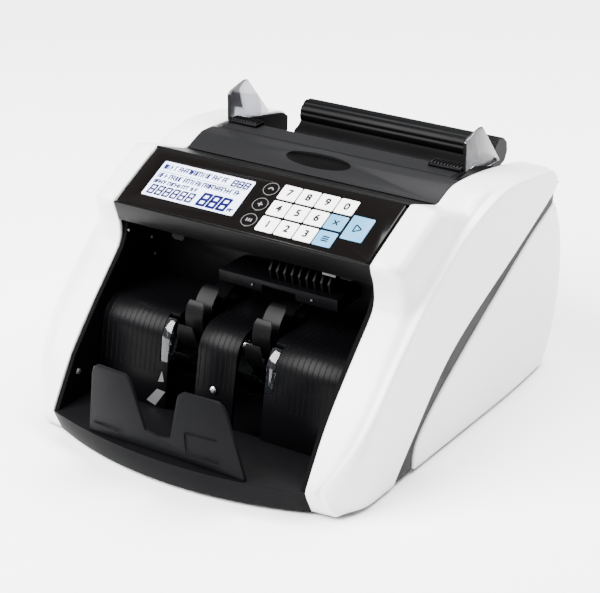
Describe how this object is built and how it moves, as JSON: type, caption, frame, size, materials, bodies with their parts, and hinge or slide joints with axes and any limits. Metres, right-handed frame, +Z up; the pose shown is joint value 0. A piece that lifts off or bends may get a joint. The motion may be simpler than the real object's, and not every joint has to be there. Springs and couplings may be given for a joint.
{
  "type": "banknote counting machine",
  "caption": "Desktop banknote counter: open stack pocket behind a notched plate, sloping keypad and display, top hopper with sliding side guides and a rear bar.",
  "frame": {"origin": "centre of the bounding box on the surface that the rubber feet stand on", "axes": "+X to the operator's right, +Y from the operator to the back of the machine, +Z up"},
  "size_m": [0.2488, 0.2994, 0.1825],
  "materials": {
    "white_cover": "satin white moulded cover",
    "dark_shell": "finely textured dark grey moulding",
    "black_inner": "satin black moulding",
    "gloss_overlay": "glossy black panel sheet",
    "lcd_glass": "pale lit display window",
    "white_key": "white key face",
    "blue_key": "light blue key face",
    "circuit_board": "green circuit board",
    "smoked_clear": "smoked clear plastic",
    "clear_prism": "clear plastic prism",
    "steel": "turned steel",
    "rubber": "black rubber"
  },
  "bodies": {
    "housing": {"base_tray": "dark_shell", "side_plate_left": "black_inner", "side_plate_right": "black_inner", "front_cover_left": "white_cover", "front_cover_right": "white_cover", "rear_cover_left": "white_cover", "rear_cover_right": "white_cover", "side_trim_left": "dark_shell", "side_trim_right": "dark_shell", "back_panel": "black_inner", "panel_housing": "dark_shell", "panel_overlay": "gloss_overlay", "lcd_display": "lcd_glass", "display_board": "circuit_board", "hopper_deck": "dark_shell", "hopper_floor": "black_inner", "rear_handle": "black_inner", "stack_plate": "dark_shell", "note_rest_left": "black_inner", "note_rest_centre": "black_inner", "note_rest_right": "black_inner", "sensor_prism_left": "clear_prism", "sensor_prism_right": "clear_prism", "outlet_guide": "black_inner", "main_motor": "steel", "drive_belt": "rubber", "main_board": "circuit_board", "power_supply": "circuit_board", "power_inlet": "black_inner", "foot_front_left": "rubber", "foot_front_right": "rubber", "foot_rear_left": "rubber", "foot_rear_right": "rubber"},
    "left_guide": {"guide_left": "smoked_clear", "guide_foot_left": "black_inner"},
    "right_guide": {"guide_right": "smoked_clear", "guide_foot_right": "black_inner"},
    "motor_rotor": {"motor_pulley": "steel"},
    "stacking_wheels": {"impeller_shaft": "steel", "impeller_left": "black_inner", "impeller_right": "black_inner"},
    "counting_shaft": {"counting_roller": "steel"},
    "feed_shaft": {"feed_roller": "rubber"},
    "rocker": {"power_switch": "black_inner"},
    "button_0": {"key_0": "white_key"},
    "button_1": {"key_1": "white_key"},
    "button_2": {"key_2": "white_key"},
    "button_3": {"key_3": "white_key"},
    "button_4": {"key_4": "white_key"},
    "button_5": {"key_5": "white_key"},
    "button_6": {"key_6": "white_key"},
    "button_7": {"key_7": "white_key"},
    "button_8": {"key_8": "white_key"},
    "button_9": {"key_9": "white_key"},
    "button_clear": {"key_clear": "blue_key"},
    "button_batch": {"key_batch": "blue_key"},
    "button_start": {"key_start": "blue_key"},
    "button_count": {"key_count": "gloss_overlay"},
    "button_add": {"key_add": "gloss_overlay"},
    "button_detect": {"key_detect": "gloss_overlay"}
  },
  "joints": [
    {"name": "left_guide_slide", "type": "slide", "parent": "housing", "child": "left_guide", "axis": [1, 0, 0], "range_m": [0, 0.04]},
    {"name": "right_guide_slide", "type": "slide", "parent": "housing", "child": "right_guide", "axis": [-1, 0, 0], "range_m": [0, 0.04]},
    {"name": "motor_spin", "type": "hinge", "parent": "housing", "child": "motor_rotor", "pos_m": [0, 0.07275, 0.0475], "axis": [1, 0, 0], "continuous": true},
    {"name": "stacking_spin", "type": "hinge", "parent": "housing", "child": "stacking_wheels", "pos_m": [0, -0.05425, 0.0585], "axis": [1, 0, 0], "continuous": true},
    {"name": "counting_spin", "type": "hinge", "parent": "housing", "child": "counting_shaft", "pos_m": [0, 0.02775, 0.1125], "axis": [1, 0, 0], "continuous": true},
    {"name": "feed_spin", "type": "hinge", "parent": "housing", "child": "feed_shaft", "pos_m": [0, 0.07375, 0.1105], "axis": [1, 0, 0], "continuous": true},
    {"name": "switch_rock", "type": "hinge", "parent": "housing", "child": "rocker", "pos_m": [-0.017, 0.14135, 0.0457], "axis": [1, 0, 0], "range_deg": [-12, 0]},
    {"name": "press_0", "type": "slide", "parent": "housing", "child": "button_0", "axis": [0, 0.4571, -0.8894], "range_m": [0, 0.0005], "stiffness_N_per_m": 200, "springref_m": -0.002},
    {"name": "press_1", "type": "slide", "parent": "housing", "child": "button_1", "axis": [0, 0.4571, -0.8894], "range_m": [0, 0.0005], "stiffness_N_per_m": 200, "springref_m": -0.002},
    {"name": "press_2", "type": "slide", "parent": "housing", "child": "button_2", "axis": [0, 0.4571, -0.8894], "range_m": [0, 0.0005], "stiffness_N_per_m": 200, "springref_m": -0.002},
    {"name": "press_3", "type": "slide", "parent": "housing", "child": "button_3", "axis": [0, 0.4571, -0.8894], "range_m": [0, 0.0005], "stiffness_N_per_m": 200, "springref_m": -0.002},
    {"name": "press_4", "type": "slide", "parent": "housing", "child": "button_4", "axis": [0, 0.4571, -0.8894], "range_m": [0, 0.0005], "stiffness_N_per_m": 200, "springref_m": -0.002},
    {"name": "press_5", "type": "slide", "parent": "housing", "child": "button_5", "axis": [0, 0.4571, -0.8894], "range_m": [0, 0.0005], "stiffness_N_per_m": 200, "springref_m": -0.002},
    {"name": "press_6", "type": "slide", "parent": "housing", "child": "button_6", "axis": [0, 0.4571, -0.8894], "range_m": [0, 0.0005], "stiffness_N_per_m": 200, "springref_m": -0.002},
    {"name": "press_7", "type": "slide", "parent": "housing", "child": "button_7", "axis": [0, 0.4571, -0.8894], "range_m": [0, 0.0005], "stiffness_N_per_m": 200, "springref_m": -0.002},
    {"name": "press_8", "type": "slide", "parent": "housing", "child": "button_8", "axis": [0, 0.4571, -0.8894], "range_m": [0, 0.0005], "stiffness_N_per_m": 200, "springref_m": -0.002},
    {"name": "press_9", "type": "slide", "parent": "housing", "child": "button_9", "axis": [0, 0.4571, -0.8894], "range_m": [0, 0.0005], "stiffness_N_per_m": 200, "springref_m": -0.002},
    {"name": "press_clear", "type": "slide", "parent": "housing", "child": "button_clear", "axis": [0, 0.4571, -0.8894], "range_m": [0, 0.0005], "stiffness_N_per_m": 200, "springref_m": -0.002},
    {"name": "press_batch", "type": "slide", "parent": "housing", "child": "button_batch", "axis": [0, 0.4571, -0.8894], "range_m": [0, 0.0005], "stiffness_N_per_m": 200, "springref_m": -0.002},
    {"name": "press_start", "type": "slide", "parent": "housing", "child": "button_start", "axis": [0, 0.4571, -0.8894], "range_m": [0, 0.0005], "stiffness_N_per_m": 200, "springref_m": -0.002},
    {"name": "press_count", "type": "slide", "parent": "housing", "child": "button_count", "axis": [0, 0.4571, -0.8894], "range_m": [0, 0.0005], "stiffness_N_per_m": 200, "springref_m": -0.002},
    {"name": "press_add", "type": "slide", "parent": "housing", "child": "button_add", "axis": [0, 0.4571, -0.8894], "range_m": [0, 0.0005], "stiffness_N_per_m": 200, "springref_m": -0.002},
    {"name": "press_detect", "type": "slide", "parent": "housing", "child": "button_detect", "axis": [0, 0.4571, -0.8894], "range_m": [0, 0.0005], "stiffness_N_per_m": 200, "springref_m": -0.002}
  ],
  "couplings": [
    {"joint": "stacking_spin", "follows": "motor_spin", "ratio": 0.5},
    {"joint": "counting_spin", "follows": "motor_spin", "ratio": 0.66667},
    {"joint": "feed_spin", "follows": "motor_spin", "ratio": 0.66667}
  ]
}
